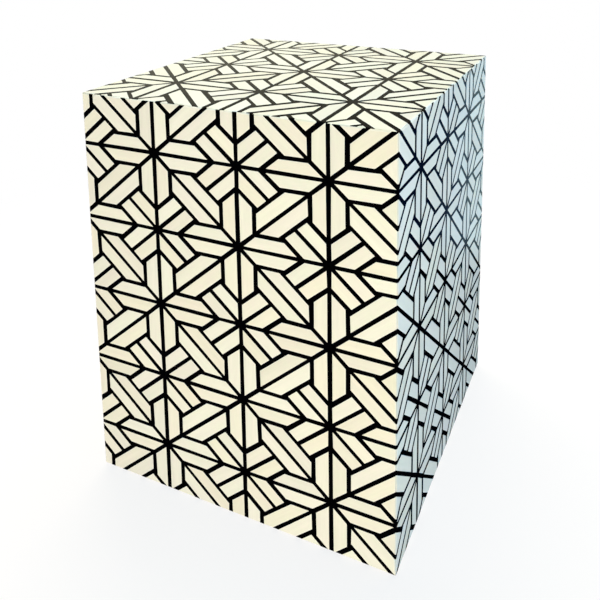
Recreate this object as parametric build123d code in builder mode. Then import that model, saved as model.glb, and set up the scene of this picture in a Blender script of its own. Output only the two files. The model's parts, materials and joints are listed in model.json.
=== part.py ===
from build123d import *

import math
import os
import random

# Block side table: a hollow box of boards, faced on its top and four sides with bone strips
# set in black resin. Millimetres. The origin is on the floor under the middle of the block,
# +X is right, -Y is front and +Z is up. The block is square on plan.

# Block
width = 400
height = 500
stand_off = 2  # gap between the floor and the walls' bottom edges
inlay = 3  # thickness of the bone and resin layer
arris = 1.5  # chamfer along every outer edge

# Carcass
board = 15
base_board = 12
base_recess = 8  # height of the base board above the walls' bottom edges
base_play = 0.5  # gap round the base board
post = 25
cleat = 20
cleat_play = 1  # gap at each end of a cleat

# Dowels
dowel_diameter = 8
dowel_length = 30
dowel_in_face = 10  # part of the dowel that is in the board it meets face on
dowel_chamfer = 1
top_dowel_offsets = (-120, 0, 120)
joint_dowel_heights = (80, 190, 300, 410)

# Screws
screw_shank = 4
screw_head = 8
screw_tip = 5
cross_length = 4.6
cross_width = 1.2
cross_depth = 1.6
post_screw_length = 35
cleat_screw_length = 30
glide_screw_length = 16
post_screw_heights = (100, 250, 400)
post_screw_stagger = 30  # rise of one wall's screws above the other's, so that they don't meet
cleat_screw_offsets = (-110, 0, 110)
cleat_screw_stagger = 25  # shift between a cleat's upright and level screws

# Glides
glide_diameter = 24
glide_inset = 42  # from the inner face of both walls to the glide's centre
glide_round = 2
glide_screw_sink = 3.5  # depth of the screw's head above the floor

# Bone pattern. A star stands on every second point of a grid and a pinwheel on the others, and
# every strip has the same width before its resin lines are taken off. The pitch, and the shift
# of the grid's middle point from the face's, are in millimetres. The strip and the lines are in
# parts of one cell. The grid line runs along the grid, the star line between two petals of a
# star, the tip line between petals and vanes, and the side line between vanes and diagonals. The
# diagonal and vane lines run down the middle of a pair.
wall_pattern = {
    "pitch": (110.4, 93.6),
    "shift": (13.6, 0),
    "star_in_middle": False,
    "strip": 0.193,
    "lines": {
        "grid": 0.0495,
        "star": 0.050,
        "tip": 0.0535,
        "side": 0.0465,
        "diagonal": 0.0445,
        "vane": 0.048,
    },
}
top_pattern = {
    "pitch": (119.8, 117.9),
    "shift": (-3, 2.5),
    "star_in_middle": True,
    "strip": 0.188,
    "lines": {
        "grid": 0.049,
        "star": 0.0455,
        "tip": 0.0415,
        "side": 0.0555,
        "diagonal": 0.050,
        "vane": 0.047,
    },
}
line_play = 0.16  # share by which a hand-cut side strays from its line
narrowest = 1.2  # narrowest offcut of bone that is laid at an edge, in millimetres
whole_reach = 8  # a pair of vanes that is cut off this close to its inner end is laid as one piece

# Derived sizes
core = width - 2 * inlay
inner = core - 2 * board
core_top = height - inlay
wall_top = core_top - board
wall_height = wall_top - stand_off
wall_middle = stand_off + wall_height / 2
base_bottom = stand_off + base_recess
base_top = base_bottom + base_board
board_line = core / 2 - board / 2  # from the block's middle to the middle of a wall board
post_line = inner / 2 - post / 2
cleat_line = inner / 2 - cleat / 2
glide_line = inner / 2 - glide_inset
head_drop = (screw_head - screw_shank) / 2

sides = {"front": 0, "right": 90, "back": 180, "left": 270}
corners = {"front_left": (-1, -1), "front_right": (1, -1), "back_left": (-1, 1), "back_right": (1, 1)}

random.seed(11)
os.makedirs("parts", exist_ok=True)


def save(part, name):
    """Label a finished piece and write it to its own file."""
    part.label = name
    export_step(part, f"parts/{name}.step")


def side_plane(side):
    """Floor plane turned so that its -Y points out of the given side."""
    return Plane.XY.rotated((0, 0, sides[side]))


# Fastener places. Each is a plane on the head or the middle of the fastener, whose Z points
# back along it.


def side_place(side, x, y, z, out):
    """Plane at a point given in a side's own directions, its Z along out."""
    plane = side_plane(side)
    origin = plane.from_local_coords(Vector(x, y, z))
    return Plane(origin=origin, z_dir=plane.from_local_coords(Vector(*out)))


top_dowels_at = [
    side_place(side, x, -board_line, wall_top + dowel_in_face - dowel_length / 2, (0, 0, 1))
    for side in sides
    for x in top_dowel_offsets
]
joint_dowels_at = [
    side_place(side, x * board_line, -inner / 2 - dowel_in_face + dowel_length / 2, z, (0, 1, 0))
    for side in ("front", "back")
    for x in (-1, 1)
    for z in joint_dowel_heights
]
post_screws_at = [
    side_place(side, x * post_line, post - inner / 2, z + lift, (0, 1, 0))
    for side, lift in zip(sides, (0, post_screw_stagger, 0, post_screw_stagger))
    for x in (-1, 1)
    for z in post_screw_heights
]
top_cleat_screws_at = [
    side_place(side, x, cleat - inner / 2, wall_top - cleat / 2, (0, 1, 0))
    for side in sides
    for x in cleat_screw_offsets
] + [
    side_place(side, x + cleat_screw_stagger, -cleat_line, wall_top - cleat, (0, 0, -1))
    for side in sides
    for x in cleat_screw_offsets
]
base_cleat_screws_at = [
    side_place(side, x, cleat - inner / 2, base_top + cleat / 2, (0, 1, 0))
    for side in sides
    for x in cleat_screw_offsets
]
base_panel_screws_at = [
    side_place(side, x + cleat_screw_stagger, -cleat_line, base_bottom, (0, 0, -1))
    for side in sides
    for x in cleat_screw_offsets
]
glide_screws_at = [
    Plane(origin=(x * glide_line, y * glide_line, glide_screw_sink), z_dir=(0, 0, -1))
    for x, y in corners.values()
]


def drill():
    """Cut the holes of every dowel and screw that reaches the piece being built."""
    with Locations(*top_dowels_at, *joint_dowels_at):
        Cylinder(dowel_diameter / 2, dowel_length, mode=Mode.SUBTRACT)
    with Locations(*post_screws_at):
        CounterSinkHole(screw_shank / 2, screw_head / 2, post_screw_length, 90)
    with Locations(*top_cleat_screws_at, *base_cleat_screws_at, *base_panel_screws_at):
        CounterSinkHole(screw_shank / 2, screw_head / 2, cleat_screw_length, 90)
    with Locations(*glide_screws_at):
        CounterSinkHole(screw_shank / 2, screw_head / 2, glide_screw_length, 90)


# Carcass boards

with BuildPart(Plane.XY.offset(core_top)) as top_panel:
    Box(core, core, board, align=(Align.CENTER, Align.CENTER, Align.MAX))
    drill()
save(top_panel.part, "top_panel")

with BuildPart(Plane.XY.offset(base_bottom)) as base_panel:
    base_size = inner - 2 * base_play
    Box(base_size, base_size, base_board, align=(Align.CENTER, Align.CENTER, Align.MIN))
    drill()
save(base_panel.part, "base_panel")

for side in sides:
    length = core if side in ("front", "back") else inner
    with BuildPart(side_plane(side)) as wall_panel:
        with Locations((0, -board_line, wall_middle)):
            Box(length, board, wall_height)
        drill()
    save(wall_panel.part, f"{side}_panel")

# Posts in the corners and cleats between them

for corner, (x, y) in corners.items():
    with BuildPart() as corner_post:
        with Locations((x * post_line, y * post_line, (base_top + wall_top) / 2)):
            Box(post, post, wall_top - base_top)
        drill()
    save(corner_post.part, f"corner_post_{corner}")

cleat_length = inner - 2 * post - 2 * cleat_play
for side in sides:
    for level, z in (("top", wall_top - cleat / 2), ("base", base_top + cleat / 2)):
        with BuildPart(side_plane(side)) as wall_cleat:
            with Locations((0, -cleat_line, z)):
                Box(cleat_length, cleat, cleat)
            drill()
        save(wall_cleat.part, f"{level}_cleat_{side}")

# Dowels

with BuildPart() as dowel:
    Cylinder(dowel_diameter / 2, dowel_length)
    chamfer(dowel.edges().filter_by(GeomType.CIRCLE), dowel_chamfer)

for name, places in (("top_dowels", top_dowels_at), ("joint_dowels", joint_dowels_at)):
    with BuildPart() as dowels:
        with Locations(*places):
            add(dowel.part)
    save(dowels.part, name)

# Screws


def wood_screw(length):
    """Countersunk screw, its head flush with the origin and its tip down."""
    with BuildPart() as screw:
        with BuildSketch(Plane.XZ):
            with BuildLine():
                Polyline(
                    (0, 0),
                    (screw_head / 2, 0),
                    (screw_shank / 2, -head_drop),
                    (screw_shank / 2, screw_tip - length),
                    (0, -length),
                    close=True,
                )
            make_face()
        revolve(axis=Axis.Z)
        with BuildSketch():
            Rectangle(cross_length, cross_width)
            Rectangle(cross_width, cross_length)
        extrude(amount=-cross_depth, mode=Mode.SUBTRACT)
    return screw.part


for name, length, places in (
    ("post_screws", post_screw_length, post_screws_at),
    ("top_cleat_screws", cleat_screw_length, top_cleat_screws_at),
    ("base_cleat_screws", cleat_screw_length, base_cleat_screws_at),
    ("base_panel_screws", cleat_screw_length, base_panel_screws_at),
    ("glide_screws", glide_screw_length, glide_screws_at),
):
    with BuildPart() as screws:
        with Locations(*places):
            add(wood_screw(length))
    save(screws.part, name)

# Glides under the base board

with BuildPart() as glide:
    Cylinder(glide_diameter / 2, base_bottom, align=(Align.CENTER, Align.CENTER, Align.MIN))
    fillet(glide.edges().group_by(Axis.Z)[0], glide_round)
    with Locations(Plane(origin=(0, 0, glide_screw_sink), z_dir=(0, 0, -1))):
        CounterSinkHole(screw_shank / 2, screw_head / 2, glide_screw_length, 90)

with BuildPart() as glides:
    with GridLocations(2 * glide_line, 2 * glide_line, 2, 2):
        add(glide.part)
save(glides.part, "glides")

# Inlay. One cell of the pattern has stars at (0, 0) and (1, 1) and pinwheels at (1, 0) and
# (0, 1). A shape is its corners, each with the line along the side that starts there, and the
# ways it is turned about the cell: (swap x and y, turn by 180 degrees).

shapes = ("petals", "diagonals", "vanes")
half_turns = ((False, False), (True, False))
all_turns = half_turns + ((False, True), (True, True))


def motif(strip):
    """Shapes of one cell for a strip width."""
    slant = strip * math.sqrt(2)  # width of a 45 degree strip, measured along the grid
    middle_end = (1 - slant) / 2  # from the grid to the inner end of a vane pair's middle line
    return {
        "petals": (
            (
                (0, 0, "grid"),
                (1 - slant, 0, "tip"),
                (1 - slant - strip, strip, "grid"),
                (strip, strip, "star"),
            ),
            all_turns,
        ),
        "diagonals": (
            (
                (strip, strip, "grid"),
                (strip + slant, strip, "side"),
                (1 - strip, 1 - strip - slant, "grid"),
                (1 - strip, 1 - strip, "diagonal"),
            ),
            half_turns,
        ),
        "vanes": (
            (
                (1, 0, "grid"),
                (1 - slant, 0, "tip"),
                (0.5, 0.5 - slant, "side"),
                (1 - middle_end, middle_end, "vane"),
            ),
            all_turns,
        ),
        "whole pair": (
            (
                (1, 0, "grid"),
                (1 - slant, 0, "tip"),
                (0.5, 0.5 - slant, "side"),
                (0.5 + slant, 0.5, "tip"),
                (1, slant, "grid"),
            ),
            half_turns,
        ),
    }


def stray():
    """Share of a line's half width that one end of a hand-cut side takes."""
    return 1 + random.uniform(-line_play, line_play)


def trimmed(outline):
    """Corners of a strip after its sides have moved in by half their lines, a little unevenly."""
    middle = sum((Vector(x, y) for x, y, line in outline), Vector()) / len(outline)
    sides_moved = []
    for (x, y, line), (next_x, next_y, _) in zip(outline, outline[1:] + outline[:1]):
        start = Vector(x, y)
        stop = Vector(next_x, next_y)
        inward = (stop - start).cross(Vector(0, 0, 1)).normalized()
        if inward.dot(middle - start) < 0:
            inward = -inward
        sides_moved.append((start + inward * (line / 2 * stray()), stop + inward * (line / 2 * stray())))
    before = sides_moved[-1:] + sides_moved[:-1]
    return [crossing(first, second) for first, second in zip(before, sides_moved)]


def crossing(first, second):
    """Point where two lines meet, each given by two points."""
    run = first[1] - first[0]
    across = second[1] - second[0]
    share = (second[0] - first[0]).cross(across).Z / run.cross(across).Z
    return first[0] + run * share


def set_out(x, y, turn, cell, mirrored):
    """Grid point of a shape's corner, after its turn within its cell."""
    swap, half_turn = turn
    if swap:
        x, y = y, x
    if half_turn:
        x, y = 1 - x, 1 - y
    if mirrored:
        x = 1 - x
    return cell[0] + x, cell[1] + y


def strip_face(outline, turn, cell, mirrored, pattern):
    """Face of one strip, turned within its cell and set out on the grid."""
    pitch, shift = pattern["pitch"], pattern["shift"]
    points = [(*set_out(x, y, turn, cell, mirrored), pattern["lines"][line]) for x, y, line in outline]
    with BuildSketch() as face:
        with BuildLine():
            placed = [(p.X * pitch[0] + shift[0], p.Y * pitch[1] + shift[1]) for p in trimmed(points)]
            Polyline(*placed, close=True)
        make_face()
    return face.face()


def cut_off(vane, turn, cell, mirrored, size, pattern):
    """True if a face's edge cuts off a vane pair close to the inner end of its middle line."""
    reaches = []
    for x, y, _ in (vane[0], vane[-1]):
        point = set_out(x, y, turn, cell, mirrored)
        places = [point[axis] * pattern["pitch"][axis] + pattern["shift"][axis] for axis in (0, 1)]
        reaches.append(min(size[axis] / 2 - abs(places[axis]) for axis in (0, 1)))
    centre, inner_end = reaches
    return centre < 0 <= inner_end < whole_reach


def strip_faces(shape, size, pattern):
    """Faces of all strips of one shape on one side of the block, cut to its outline."""
    parts = motif(pattern["strip"])
    outline, turns = parts[shape]
    whole_pair, whole_turns = parts["whole pair"]
    columns = math.ceil(size[0] / 2 / pattern["pitch"][0]) + 1
    rows = math.ceil(size[1] / 2 / pattern["pitch"][1]) + 1
    faces = []
    for column in range(-columns, columns):
        for row in range(-rows, rows):
            cell = (column, row)
            mirrored = ((column + row) % 2 == 0) != pattern["star_in_middle"]
            for turn in turns:
                if shape != "vanes" or not cut_off(outline, turn, cell, mirrored, size, pattern):
                    faces.append(strip_face(outline, turn, cell, mirrored, pattern))
                elif turn in whole_turns:
                    faces.append(strip_face(whole_pair, turn, cell, mirrored, pattern))
    with BuildSketch() as cut:
        add(faces)
        Rectangle(*size, mode=Mode.INTERSECT)
    return cut.faces().filter_by(lambda face: 2 * face.area > narrowest * face.outer_wire().length)


mitred_wall_edges = ((-1, 0), (1, 0), (0, 1))
all_edges = mitred_wall_edges + ((0, -1),)


def mitred_slab(plane, size, mitred):
    """Inlay layer of one side: chamfered round its face, and mitred along the given edges."""
    with BuildPart(plane) as slab:
        Box(*size, inlay, align=(Align.CENTER, Align.CENTER, Align.MAX))
        for x, y in all_edges:
            outward = plane.x_dir * x + plane.y_dir * y
            edge = plane.from_local_coords(Vector(x * size[0] / 2, y * size[1] / 2))
            chamfer_line = edge - outward * arris
            split(bisect_by=Plane(chamfer_line, z_dir=outward + plane.z_dir), keep=Keep.BOTTOM)
            if (x, y) in mitred:
                split(bisect_by=Plane(edge, z_dir=outward - plane.z_dir), keep=Keep.BOTTOM)
    return slab.part


def inlaid_side(name, plane, size, mitred, pattern):
    """Bone strips of one side, one piece per shape, and the resin round them."""
    slab = mitred_slab(plane, size, mitred)
    bone = []
    for shape in shapes:
        faces = strip_faces(shape, size, pattern)
        bone.extend(faces)
        with BuildPart() as strips:
            with BuildSketch(plane):
                add(faces)
            extrude(amount=-inlay)
            add(slab, mode=Mode.INTERSECT)
        save(strips.part, f"bone_{shape}_{name}")
    with BuildPart() as resin:
        with BuildSketch(plane):
            Rectangle(*size)
            add(bone, mode=Mode.SUBTRACT)
        extrude(amount=-inlay)
        add(slab, mode=Mode.INTERSECT)
    save(resin.part, f"resin_{name}")


block_height = height - stand_off
for side, direction in zip(sides, (1, -1, 1, -1)):
    turned = side_plane(side)
    outer = Plane(
        origin=turned.from_local_coords(Vector(0, -width / 2, stand_off + block_height / 2)),
        x_dir=turned.x_dir,
        z_dir=-turned.y_dir,
    )
    across, up = wall_pattern["shift"]
    pattern = wall_pattern | {"shift": (across * direction, up)}
    inlaid_side(side, outer, (width, block_height), mitred_wall_edges, pattern)

inlaid_side("top", Plane.XY.offset(height), (width, width), all_edges, top_pattern)
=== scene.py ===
import json
import math
import random

import bmesh
import bpy
from mathutils import Matrix, Vector


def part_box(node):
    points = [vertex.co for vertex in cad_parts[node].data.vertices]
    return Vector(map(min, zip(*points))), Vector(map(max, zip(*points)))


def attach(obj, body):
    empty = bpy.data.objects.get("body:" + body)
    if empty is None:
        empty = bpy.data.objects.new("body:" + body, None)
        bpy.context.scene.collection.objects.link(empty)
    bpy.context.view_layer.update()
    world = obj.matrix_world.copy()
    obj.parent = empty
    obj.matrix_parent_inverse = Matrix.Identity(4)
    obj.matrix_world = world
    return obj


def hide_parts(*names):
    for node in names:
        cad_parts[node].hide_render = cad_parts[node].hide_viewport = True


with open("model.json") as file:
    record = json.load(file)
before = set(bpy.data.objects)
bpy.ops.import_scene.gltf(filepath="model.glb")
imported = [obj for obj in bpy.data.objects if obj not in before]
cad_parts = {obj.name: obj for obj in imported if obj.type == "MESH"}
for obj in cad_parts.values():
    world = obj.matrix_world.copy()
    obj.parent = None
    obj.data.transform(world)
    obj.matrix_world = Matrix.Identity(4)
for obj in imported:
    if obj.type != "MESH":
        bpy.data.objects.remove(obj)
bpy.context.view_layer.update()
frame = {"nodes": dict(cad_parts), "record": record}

# Inlaid block side table: bone strips in black resin over a hollow carcass of boards. The strips
# are rebuilt from their CAD solids with rolled edges, and every other piece keeps its CAD shape.

nodes = frame["nodes"]
outward = {
    "front": Vector((0, -1, 0)),
    "back": Vector((0, 1, 0)),
    "left": Vector((-1, 0, 0)),
    "right": Vector((1, 0, 0)),
    "top": Vector((0, 0, 1)),
}
MM = 0.001


# Node trees


def new_material(name):
    """Empty material with its output node. Returns the material, its tree and the output."""
    material = bpy.data.materials.new(name)
    material.use_nodes = True
    tree = material.node_tree
    tree.nodes.clear()
    return material, tree, tree.nodes.new("ShaderNodeOutputMaterial")


def node(tree, kind, inputs=None, **settings):
    """Add a node, set its properties, then set or link its inputs."""
    made = tree.nodes.new(kind)
    for key, value in settings.items():
        setattr(made, key, value)
    for key, value in (inputs or {}).items():
        if isinstance(value, bpy.types.NodeSocket):
            tree.links.new(value, made.inputs[key])
        else:
            made.inputs[key].default_value = value
    return made


def maths(tree, operation, first, second=0.0, clamp=False):
    """Output of a math node."""
    made = node(tree, "ShaderNodeMath", {0: first, 1: second}, operation=operation, use_clamp=clamp)
    return made.outputs[0]


def dot(tree, first, second):
    """Dot product of two vector sockets."""
    made = node(tree, "ShaderNodeVectorMath", {0: first, 1: second}, operation="DOT_PRODUCT")
    return made.outputs["Value"]


def spread(tree, value, low, high, to_low=0.0, to_high=1.0):
    """Value mapped from one range to another, and kept inside it."""
    inputs = {"Value": value, 1: low, 2: high, 3: to_low, 4: to_high}
    return node(tree, "ShaderNodeMapRange", inputs).outputs[0]


def mixed(tree, share, first, second, blend="MIX"):
    """Colour between two colours."""
    made = node(tree, "ShaderNodeMix", data_type="RGBA", blend_type=blend)
    for socket, value in ((0, share), (6, first), (7, second)):
        if isinstance(value, bpy.types.NodeSocket):
            tree.links.new(value, made.inputs[socket])
        else:
            made.inputs[socket].default_value = value
    return made.outputs[2]


def noise(tree, where, scale, detail=2.0, roughness=0.5):
    """Noise value at a point."""
    inputs = {"Vector": where, "Scale": scale, "Detail": detail, "Roughness": roughness}
    return node(tree, "ShaderNodeTexNoise", inputs).outputs["Fac"]


def place(tree):
    """Socket of the point that is shaded, in metres."""
    return node(tree, "ShaderNodeNewGeometry").outputs["Position"]


def upright_arris(tree):
    """1 on the chamfers along the upright corners of the block, and 0 elsewhere; it sets where the bone
    gets painted shade.
    """
    normal = node(tree, "ShaderNodeNewGeometry").outputs["True Normal"]
    facing = node(tree, "ShaderNodeSeparateXYZ", {0: normal}).outputs
    sizes = [maths(tree, "ABSOLUTE", facing[axis]) for axis in (0, 1)]
    slanted = [maths(tree, "GREATER_THAN", size, 0.5) for size in sizes]
    return maths(tree, "MULTIPLY", *slanted)


def seen_squarely(tree):
    """How squarely the top or the right side is looked at, and 0 on the other faces; it sets where the
    bone gets painted shade. A bake reads every ray as 1 m long and head on, so it gets 0 too, and keeps
    the bone's own colour."""
    shown = node(tree, "ShaderNodeNewGeometry").outputs
    facing = node(tree, "ShaderNodeSeparateXYZ", {0: shown["True Normal"]}).outputs
    brightly_lit = maths(tree, "GREATER_THAN", maths(tree, "MAXIMUM", facing[0], facing[2]), 0.9)
    ray_length = node(tree, "ShaderNodeLightPath").outputs["Ray Length"]
    off_a_metre = maths(tree, "ABSOLUTE", maths(tree, "SUBTRACT", ray_length, 1.0))
    rendered = maths(tree, "GREATER_THAN", off_a_metre, 0.01 * MM)
    squarely = dot(tree, shown["Incoming"], shown["True Normal"])
    return maths(tree, "MULTIPLY", squarely, maths(tree, "MULTIPLY", brightly_lit, rendered))


# Finishes


def lacquer_normal(tree):
    """Normal of the clear gloss coat: long low waves from sanding, and fine orange peel."""
    waves = noise(tree, place(tree), 22, detail=1)
    peel = noise(tree, place(tree), 420, detail=2)
    first = node(tree, "ShaderNodeBump", {"Height": waves, "Distance": 0.25 * MM, "Strength": 1.0})
    inputs = {"Height": peel, "Distance": 0.006 * MM, "Strength": 1.0, "Normal": first.outputs[0]}
    return node(tree, "ShaderNodeBump", inputs).outputs[0]


def bone_material():
    """Cream bone under gloss lacquer: streaks and pores along each strip, a tint of its own, a painted
    highlight along its rolled edge, and painted shade on the upright chamfers, the top and the right
    side."""
    material, tree, output = new_material("bone_lacquered")
    along = node(tree, "ShaderNodeAttribute", attribute_name="along").outputs["Vector"]
    across = node(tree, "ShaderNodeAttribute", attribute_name="across").outputs["Vector"]
    own = node(tree, "ShaderNodeAttribute", attribute_name="own").outputs["Vector"]
    own_split = node(tree, "ShaderNodeSeparateXYZ", {0: own})
    tint, light, seed = own_split.outputs
    where = place(tree)
    length = dot(tree, where, along)
    breadth = dot(tree, where, across)

    def streaked(stretch, fine):
        inputs = {
            0: maths(tree, "MULTIPLY", length, stretch),
            1: maths(tree, "MULTIPLY", breadth, fine),
            2: maths(tree, "MULTIPLY", seed, 50.0),
        }
        return node(tree, "ShaderNodeCombineXYZ", inputs).outputs[0]

    bands = noise(tree, streaked(14, 160), 1.0, detail=3, roughness=0.6)
    fibres = noise(tree, streaked(70, 1500), 1.0, detail=3, roughness=0.65)
    cloud = noise(tree, streaked(45, 60), 1.0, detail=2)
    blush = noise(tree, streaked(90, 130), 1.0, detail=1)
    pores = node(tree, "ShaderNodeTexVoronoi", {"Vector": streaked(420, 2600), "Scale": 1.0})
    pore = spread(tree, pores.outputs["Distance"], 0.10, 0.24, 1.0, 0.0)
    pore_cells = node(tree, "ShaderNodeSeparateColor", {0: pores.outputs["Color"]}).outputs[0]
    pore = maths(tree, "MULTIPLY", pore, maths(tree, "GREATER_THAN", pore_cells, 0.62))
    pore = maths(tree, "MULTIPLY", pore, spread(tree, cloud, 0.45, 0.62))

    warm = (0.90, 0.835, 0.615, 1)
    cool = (0.885, 0.85, 0.66, 1)
    pink = (0.90, 0.82, 0.65, 1)
    green_cast = (0.985, 1.0, 0.97, 1)
    rosy_cast = (1.0, 0.985, 0.99, 1)
    pore_brown = (0.42, 0.33, 0.22, 1)
    # Painted highlight colour for the ring along each strip's rolled edge.
    painted_rim_highlight = (0.97, 0.94, 0.80, 1)
    # Painted shade colour for the upright corner chamfers.
    arris_painted_shade = (0.3, 0.27, 0.2, 1)
    # Painted shade: the darkest factor on the top and the right side, where they are seen squarely.
    deepest_painted_shade = 0.70
    colour = mixed(tree, spread(tree, tint, 0.0, 0.6), warm, cool)
    colour = mixed(tree, spread(tree, tint, 0.78, 1.0, 0.0, 0.35), colour, pink)
    cast = mixed(tree, spread(tree, blush, 0.3, 0.7), green_cast, rosy_cast)
    colour = mixed(tree, 1.0, colour, cast, "MULTIPLY")
    own_shade = maths(tree, "POWER", light, 0.6)
    shade = spread(tree, bands, 0.3, 0.7, 0.965, 1.025)
    shade = maths(tree, "MULTIPLY", shade, spread(tree, fibres, 0.25, 0.75, 0.97, 1.015))
    shade = maths(tree, "MULTIPLY", shade, spread(tree, own_shade, 0.0, 1.0, 0.94, 1.02))
    # Painted shade: the bone on the top and the right side darkens by up to 30 percent the more
    # squarely it is seen, to offset the strong light on those faces.
    painted_view_shade = spread(tree, seen_squarely(tree), 0.3, 1.0, 1.0, deepest_painted_shade)
    shade = maths(tree, "MULTIPLY", shade, painted_view_shade)
    greener = maths(tree, "MULTIPLY", shade, spread(tree, seed, 0.0, 1.0, 0.985, 1.015))
    tone = node(tree, "ShaderNodeCombineColor", {0: shade, 1: greener, 2: shade}).outputs[0]
    colour = mixed(tree, 1.0, colour, tone, "MULTIPLY")
    colour = mixed(tree, maths(tree, "MULTIPLY", pore, 0.45), colour, pore_brown)
    # Painted highlight: a paler cream ring just inside each strip's top edge, where the rolled edge
    # would catch the light.
    edge = node(tree, "ShaderNodeAttribute", attribute_name="edge").outputs["Fac"]
    ring = node(tree, "ShaderNodeAttribute", attribute_name="ring").outputs["Fac"]
    highlight_rim = maths(tree, "MULTIPLY", ring, maths(tree, "MULTIPLY", edge, edge))
    colour = mixed(tree, highlight_rim, colour, painted_rim_highlight)
    # Painted shade: the chamfers on the upright corners are darkened, as light from two sides at once
    # would make them glare.
    colour = mixed(tree, maths(tree, "MULTIPLY", upright_arris(tree), 0.3), colour, arris_painted_shade)

    grain = maths(tree, "SUBTRACT", fibres, maths(tree, "MULTIPLY", pore, 0.8))
    bump = node(tree, "ShaderNodeBump", {"Height": grain, "Distance": 0.02 * MM, "Strength": 0.6})
    shader = node(
        tree,
        "ShaderNodeBsdfPrincipled",
        {
            "Base Color": colour,
            "Roughness": spread(tree, fibres, 0.2, 0.8, 0.42, 0.55),
            "Specular IOR Level": 0.3,
            "Normal": bump.outputs[0],
            "Coat Weight": 1.0,
            "Coat Roughness": 0.05,
            "Coat Normal": lacquer_normal(tree),
        },
    )
    tree.links.new(shader.outputs[0], output.inputs[0])
    return material


def resin_material():
    """Black resin under the same lacquer, with a few pinholes and faint sanding haze."""
    material, tree, output = new_material("resin_black")
    where = place(tree)
    haze = noise(tree, where, 90, detail=4, roughness=0.6)
    pits = node(tree, "ShaderNodeTexVoronoi", {"Vector": where, "Scale": 900.0})
    pit = spread(tree, pits.outputs["Distance"], 0.05, 0.12, 1.0, 0.0)
    colour = mixed(tree, haze, (0.0003, 0.0003, 0.0005, 1), (0.0012, 0.0012, 0.0015, 1))
    colour = mixed(tree, maths(tree, "MULTIPLY", pit, 0.5), colour, (0.01, 0.01, 0.01, 1))
    dents = maths(tree, "SUBTRACT", haze, pit)
    bump = node(tree, "ShaderNodeBump", {"Height": dents, "Distance": 0.03 * MM, "Strength": 0.5})
    shader = node(
        tree,
        "ShaderNodeBsdfPrincipled",
        {
            "Base Color": colour,
            "Roughness": spread(tree, haze, 0.2, 0.8, 0.3, 0.45),
            "Specular IOR Level": 0.0,
            "Normal": bump.outputs[0],
            "Coat Weight": 1.0,
            "Coat Roughness": 0.05,
            "Coat Normal": lacquer_normal(tree),
        },
    )
    tree.links.new(shader.outputs[0], output.inputs[0])
    return material


def board_material():
    """Brown fibreboard, painted black underneath and along the lowest edges."""
    material, tree, output = new_material("fibreboard")
    where = place(tree)
    fleck = noise(tree, where, 1400, detail=3, roughness=0.7)
    cloud = noise(tree, where, 30, detail=3)
    raw = mixed(tree, fleck, (0.26, 0.16, 0.09, 1), (0.48, 0.34, 0.21, 1))
    raw = mixed(tree, spread(tree, cloud, 0.3, 0.7, 0.0, 0.25), raw, (0.30, 0.20, 0.12, 1))
    paint = mixed(tree, cloud, (0.012, 0.012, 0.012, 1), (0.022, 0.021, 0.020, 1))
    height = node(tree, "ShaderNodeSeparateXYZ", {0: where}).outputs[2]
    painted = maths(tree, "LESS_THAN", height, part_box("base_panel")[0].z + 0.5 * MM)
    shader = node(
        tree,
        "ShaderNodeBsdfPrincipled",
        {
            "Base Color": mixed(tree, painted, raw, paint),
            "Roughness": spread(tree, painted, 0.0, 1.0, 0.85, 0.5),
            "Normal": node(
                tree, "ShaderNodeBump", {"Height": fleck, "Distance": 0.05 * MM, "Strength": 0.5}
            ).outputs[0],
        },
    )
    tree.links.new(shader.outputs[0], output.inputs[0])
    return material


def wood_material(name, pale, dark, ring_scale):
    """Planed timber with growth rings stretched along its length."""
    material, tree, output = new_material(name)
    where = place(tree)
    bend = noise(tree, where, 9, detail=2)
    rings = node(
        tree,
        "ShaderNodeTexWave",
        {"Vector": where, "Scale": ring_scale, "Distortion": 3.0, "Detail": 3.0, "Detail Scale": 1.5},
    ).outputs["Fac"]
    fibres = noise(tree, where, 1200, detail=3, roughness=0.6)
    share = maths(tree, "MULTIPLY", rings, spread(tree, bend, 0.2, 0.8, 0.5, 1.0))
    colour = mixed(tree, share, pale, dark)
    shader = node(
        tree,
        "ShaderNodeBsdfPrincipled",
        {
            "Base Color": colour,
            "Roughness": spread(tree, fibres, 0.2, 0.8, 0.55, 0.75),
            "Normal": node(
                tree, "ShaderNodeBump", {"Height": fibres, "Distance": 0.05 * MM, "Strength": 0.4}
            ).outputs[0],
        },
    )
    tree.links.new(shader.outputs[0], output.inputs[0])
    return material


def steel_material():
    """Yellow zinc plated screw steel with fine turning marks."""
    material, tree, output = new_material("zinc_steel")
    where = place(tree)
    stain = noise(tree, where, 260, detail=3)
    marks = noise(tree, where, 4000, detail=2)
    shader = node(
        tree,
        "ShaderNodeBsdfPrincipled",
        {
            "Base Color": mixed(tree, stain, (0.55, 0.45, 0.22, 1), (0.72, 0.66, 0.48, 1)),
            "Metallic": 1.0,
            "Roughness": spread(tree, marks, 0.2, 0.8, 0.25, 0.42),
        },
    )
    tree.links.new(shader.outputs[0], output.inputs[0])
    return material


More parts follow.
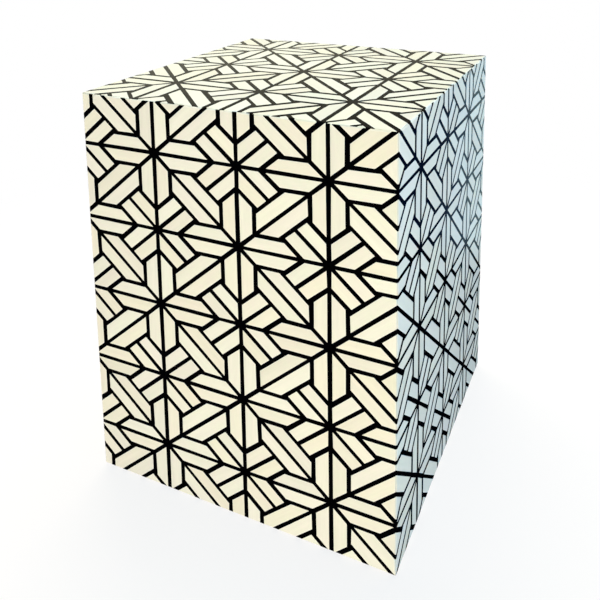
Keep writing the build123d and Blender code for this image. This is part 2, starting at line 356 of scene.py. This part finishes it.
def nylon_material():
    """Moulded black nylon, scuffed where it meets the floor."""
    material, tree, output = new_material("glide_nylon")
    where = place(tree)
    stipple = noise(tree, where, 3000, detail=2)
    scuffs = noise(tree, where, 500, detail=4, roughness=0.7)
    height = node(tree, "ShaderNodeSeparateXYZ", {0: where}).outputs[2]
    worn = spread(tree, height, 0.0, 1.5 * MM, 1.0, 0.0)
    worn = maths(tree, "MULTIPLY", worn, spread(tree, scuffs, 0.45, 0.6))
    shader = node(
        tree,
        "ShaderNodeBsdfPrincipled",
        {
            "Base Color": mixed(tree, worn, (0.018, 0.018, 0.019, 1), (0.09, 0.088, 0.085, 1)),
            "Roughness": spread(tree, worn, 0.0, 1.0, 0.45, 0.7),
            "Normal": node(
                tree, "ShaderNodeBump", {"Height": stipple, "Distance": 0.03 * MM, "Strength": 0.4}
            ).outputs[0],
        },
    )
    tree.links.new(shader.outputs[0], output.inputs[0])
    return material


def placed(name, data):
    """New object with this mesh, light or camera data, put in the scene."""
    made = bpy.data.objects.new(name, data)
    bpy.context.scene.collection.objects.link(made)
    return made


# Bone strips


def islands(mesh):
    """Groups of connected faces, ordered by where they are."""
    left = set(mesh.faces)
    groups = []
    while left:
        start = left.pop()
        group = [start]
        for face in group:
            for edge in face.edges:
                for neighbour in edge.link_faces:
                    if neighbour in left:
                        left.remove(neighbour)
                        group.append(neighbour)
        groups.append(group)

    def where(group):
        lows = [min(vert.co[axis] for face in group for vert in face.verts) for axis in range(3)]
        return [round(low, 5) for low in lows]

    return sorted(groups, key=where)


def outer_face(group, out):
    """Largest face of a strip that looks out of the block."""
    facing_out = [face for face in group if face.normal.dot(out) > 0.99]
    return max(facing_out, key=lambda face: face.calc_area())


def deepest_inset(face):
    """How far a face's outline can move in before one of its edges is used up."""
    turns = {loop.edge: 0.0 for loop in face.loops}
    for loop in face.loops:
        spent = 1 / math.tan(loop.calc_angle() / 2)
        turns[loop.edge] += spent
        turns[loop.link_loop_prev.edge] += spent
    return min(edge.calc_length() / spent for edge, spent in turns.items())


def rolled_strips(cad, out, draw):
    """Bone strips of one CAD node with rolled top edges, each a hair out of level with the rest."""
    roll = 0.22 * MM
    sink = 0.05 * MM
    steepest_lean = 0.0012
    # Widest ring that carries the painted highlight along a strip's edge.
    widest_highlight_rim = 1.0 * MM
    sliver = 0.6 * MM
    smooth_share = 0.2
    mesh = bmesh.new()
    mesh.from_mesh(cad.data)
    bmesh.ops.remove_doubles(mesh, verts=mesh.verts, dist=0.002 * MM)
    flat = math.radians(0.5)
    bmesh.ops.dissolve_limit(mesh, angle_limit=flat, verts=mesh.verts, edges=mesh.edges)
    bmesh.ops.dissolve_degenerate(mesh, dist=sliver, edges=mesh.edges)
    mesh.normal_update()
    rims = []
    for group in islands(mesh):
        top = outer_face(group, out)
        middle = top.calc_center_median()
        lean = Vector([draw.uniform(-1, 1) for _ in range(3)]) * steepest_lean
        drop = draw.uniform(0, sink)
        for vert in top.verts:
            vert.co -= out * max(0.0, drop + (vert.co - middle).dot(lean))
        rims.extend(top.edges)
    bmesh.ops.bevel(mesh, geom=rims, offset=roll, segments=3, profile=0.5, affect="EDGES")
    mesh.normal_update()

    # Mask for the painted highlight: a ring just inside each strip's top edge, 1 at the edge and 0
    # further in.
    edge = mesh.verts.layers.float.new("edge")
    ring = mesh.faces.layers.float.new("ring")
    for group in islands(mesh):
        top = outer_face(group, out)
        for vert in top.verts:
            vert[edge] = 1.0
        inset = min(widest_highlight_rim, deepest_inset(top) / 2)
        highlight_rim = bmesh.ops.inset_individual(mesh, faces=[top], thickness=inset)
        for face in highlight_rim["faces"]:
            face[ring] = 1.0
        for vert in top.verts:
            vert[edge] = 0.0

    layers = {name: mesh.faces.layers.float_vector.new(name) for name in ("along", "across", "own")}
    for group in islands(mesh):
        top = outer_face(group, out)
        longest = max(top.edges, key=lambda edge: edge.calc_length())
        along = (longest.verts[1].co - longest.verts[0].co).normalized()
        own = Vector((draw.random(), draw.random(), draw.random()))
        for face in group:
            face[layers["along"]] = along
            face[layers["across"]] = along.cross(out)
            face[layers["own"]] = own
            face.smooth = face.calc_area() < top.calc_area() * smooth_share
    data = bpy.data.meshes.new("strips_" + cad.name)
    mesh.to_mesh(data)
    mesh.free()
    piece = placed("strips_" + cad.name, data)
    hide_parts(cad.name)
    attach(piece, "root")
    return piece


finishes = {
    "resin": resin_material(),
    "board": board_material(),
    "softwood": wood_material("pine", (0.62, 0.43, 0.24, 1), (0.42, 0.25, 0.12, 1), 60),
    "hardwood": wood_material("beech", (0.60, 0.42, 0.26, 1), (0.48, 0.31, 0.18, 1), 140),
    "screw_steel": steel_material(),
    "glide_nylon": nylon_material(),
}
slots = {entry["node"]: entry["material_slot"] for entry in frame["record"]["subparts"]}
bone = bone_material()
draw = random.Random(5)
for name in sorted(nodes):
    if slots[name] == "bone":
        side = name.rsplit("_", 1)[1]
        strips = rolled_strips(nodes[name], outward[side], draw)
        strips.data.materials.append(bone)
    else:
        nodes[name].data.materials.clear()
        nodes[name].data.materials.append(finishes[slots[name]])


# Room


def patch_of_window(tree, towards):
    """Colour that the gloss finds when a reflected ray goes down to the floor: a window to the back
    right, soft on its right edge, with a pale wall above it and a dark room round it."""
    dark_room = (0.0005, 0.0005, 0.001, 1)
    window_edge = (0.0, 0.08, 0.38, 1)
    window_middle = (0.235, 0.36, 0.395, 1)
    pale_wall = (0.30, 0.31, 0.32, 1)
    least_bright = 0.13
    x, y, z = node(tree, "ShaderNodeSeparateXYZ", {0: towards}).outputs
    sideways = maths(tree, "DIVIDE", x, maths(tree, "ABSOLUTE", y))
    turn = spread(tree, sideways, 0.31, 0.22)
    bright = maths(tree, "MAXIMUM", maths(tree, "POWER", turn, 1.8), least_bright)
    behind = maths(tree, "GREATER_THAN", y, 0.0)
    to_the_right = maths(tree, "GREATER_THAN", x, 0.0)
    inside = maths(tree, "MULTIPLY", behind, to_the_right)
    bright = maths(tree, "MULTIPLY", bright, spread(tree, z, -0.455, -0.425))
    bright = maths(tree, "MULTIPLY", bright, inside)
    window = mixed(tree, maths(tree, "POWER", turn, 1.5), window_edge, window_middle)
    colour = mixed(tree, bright, dark_room, window)
    return mixed(tree, spread(tree, z, -0.16, -0.04), colour, pale_wall)


def floor():
    """Wide pale floor that fades to white. The gloss sees a dark room with a window in it."""
    mesh = bpy.data.meshes.new("floor")
    reach = 30
    corners = [(-reach, -reach, 0), (reach, -reach, 0), (reach, reach, 0), (-reach, reach, 0)]
    mesh.from_pydata(corners, [], [(0, 1, 2, 3)])
    plane = placed("floor", mesh)
    material, tree, output = new_material("floor_pale")
    away = node(tree, "ShaderNodeVectorMath", {0: place(tree)}, operation="LENGTH").outputs["Value"]
    back = node(tree, "ShaderNodeNewGeometry").outputs["Incoming"]
    towards = node(tree, "ShaderNodeVectorMath", {0: back, "Scale": -1.0}, operation="SCALE").outputs[0]
    path = node(tree, "ShaderNodeLightPath")
    pale = node(tree, "ShaderNodeBsdfDiffuse", {"Color": (0.94, 0.82, 0.68, 1)})
    white = node(tree, "ShaderNodeEmission", {"Color": (1, 1, 1, 1)})
    glow = node(tree, "ShaderNodeEmission", {"Color": floor_glow})
    seen = node(tree, "ShaderNodeEmission", {"Color": patch_of_window(tree, towards)})
    fade = spread(tree, away, 0.3, 1.1, 0.86, 1.0)
    shown = node(tree, "ShaderNodeMixShader", {0: fade, 1: pale.outputs[0], 2: white.outputs[0]})
    lit = {0: path.outputs["Is Diffuse Ray"], 1: shown.outputs[0], 2: glow.outputs[0]}
    blend = node(tree, "ShaderNodeMixShader", lit)
    mirrored = {0: path.outputs["Is Glossy Ray"], 1: blend.outputs[0], 2: seen.outputs[0]}
    blend = node(tree, "ShaderNodeMixShader", mirrored)
    tree.links.new(blend.outputs[0], output.inputs[0])
    material.cycles.emission_sampling = "NONE"
    mesh.materials.append(material)


def surroundings():
    """White backdrop for the camera, soft light for the block, and a dim room in its gloss."""
    world = bpy.data.worlds.new("studio")
    bpy.context.scene.world = world
    world.use_nodes = True
    tree = world.node_tree
    tree.nodes.clear()
    output = tree.nodes.new("ShaderNodeOutputWorld")
    path = node(tree, "ShaderNodeLightPath")
    towards = node(tree, "ShaderNodeTexCoord").outputs["Generated"]
    x, _, z = node(tree, "ShaderNodeSeparateXYZ", {0: towards}).outputs
    brightest = 0.46
    tint = (1.0, 0.97, 0.74)
    low = spread(tree, z, 0.17, 0.34, 1.0, 0.12)
    leftward = spread(tree, x, -0.55, -0.2, 1.0, 0.55)
    dim = maths(tree, "MULTIPLY", maths(tree, "MULTIPLY", low, leftward), brightest)
    tones = {channel: maths(tree, "MULTIPLY", dim, share) for channel, share in enumerate(tint)}
    room = node(tree, "ShaderNodeCombineColor", tones)
    light = mixed(tree, spread(tree, x, 0.15, 0.85), sky_left, sky_right)
    colour = mixed(tree, path.outputs["Is Glossy Ray"], light, room.outputs[0])
    colour = mixed(tree, path.outputs["Is Camera Ray"], colour, (1, 1, 1, 1))
    shade = node(tree, "ShaderNodeBackground", {"Color": colour, "Strength": 1.0})
    tree.links.new(shade.outputs[0], output.inputs[0])


def softbox(name, where, target, size, power, colour):
    """Square area light pointed at a place, and not mirrored in the gloss."""
    light = bpy.data.lights.new(name, "AREA")
    light.shape = "SQUARE"
    light.size = size
    light.energy = power
    light.color = colour
    lamp = placed(name, light)
    lamp.location = where
    lamp.rotation_euler = (Vector(target) - Vector(where)).to_track_quat("-Z", "Y").to_euler()
    lamp.visible_glossy = False


def camera():
    """Camera to the front right, above the block. Its shifted lens is straight again once it stands
    elsewhere."""
    stand_x, stand_y, stand_z = 0.4105, -0.8271, 0.7094
    data = bpy.data.cameras.new("camera")
    view = placed("camera", data)
    data.sensor_width = 36
    data.lens = 42.32
    heading = Matrix.Rotation(math.radians(24.24), 4, "Z")
    tilt = Matrix.Rotation(math.radians(90 - 8.99), 4, "X")
    roll = Matrix.Rotation(math.radians(-0.45), 4, "Z")
    view.matrix_world = Matrix.Translation((stand_x, stand_y, stand_z)) @ heading @ tilt @ roll
    for axis, shift in (("shift_x", -0.0511), ("shift_y", -0.4584)):
        driver = data.driver_add(axis).driver
        driver.type = "SCRIPTED"
        stand = driver.variables.new()
        stand.name = "x"
        stand.type = "TRANSFORMS"
        stand.targets[0].id = view
        stand.targets[0].transform_type = "LOC_X"
        driver.expression = f"{shift} if abs(x - {stand_x}) < 0.0001 else 0.0"
    bpy.context.scene.camera = view


sky_left = (0.053, 0.22, 0.27, 1)
sky_right = (0.241, 0.58, 1.63, 1)
floor_glow = (1.69, 1.47, 1.48, 1)
floor()
surroundings()
softbox("key", (0.7, -1.5, 0.0), (0, 0, 0.1), 0.8, 15, (0.96, 0.98, 0.54))
softbox("top", (-0.5, 0.8, 2.6), (0, 0, 0.5), 1.8, 111, (1.00, 0.93, 0.86))
softbox("window", (3.2, 0.3, 1.0), (0, 0, 0.25), 2.0, 40, (0.15, 0.74, 1.00))
camera()
bpy.context.scene.view_settings.view_transform = "Standard"
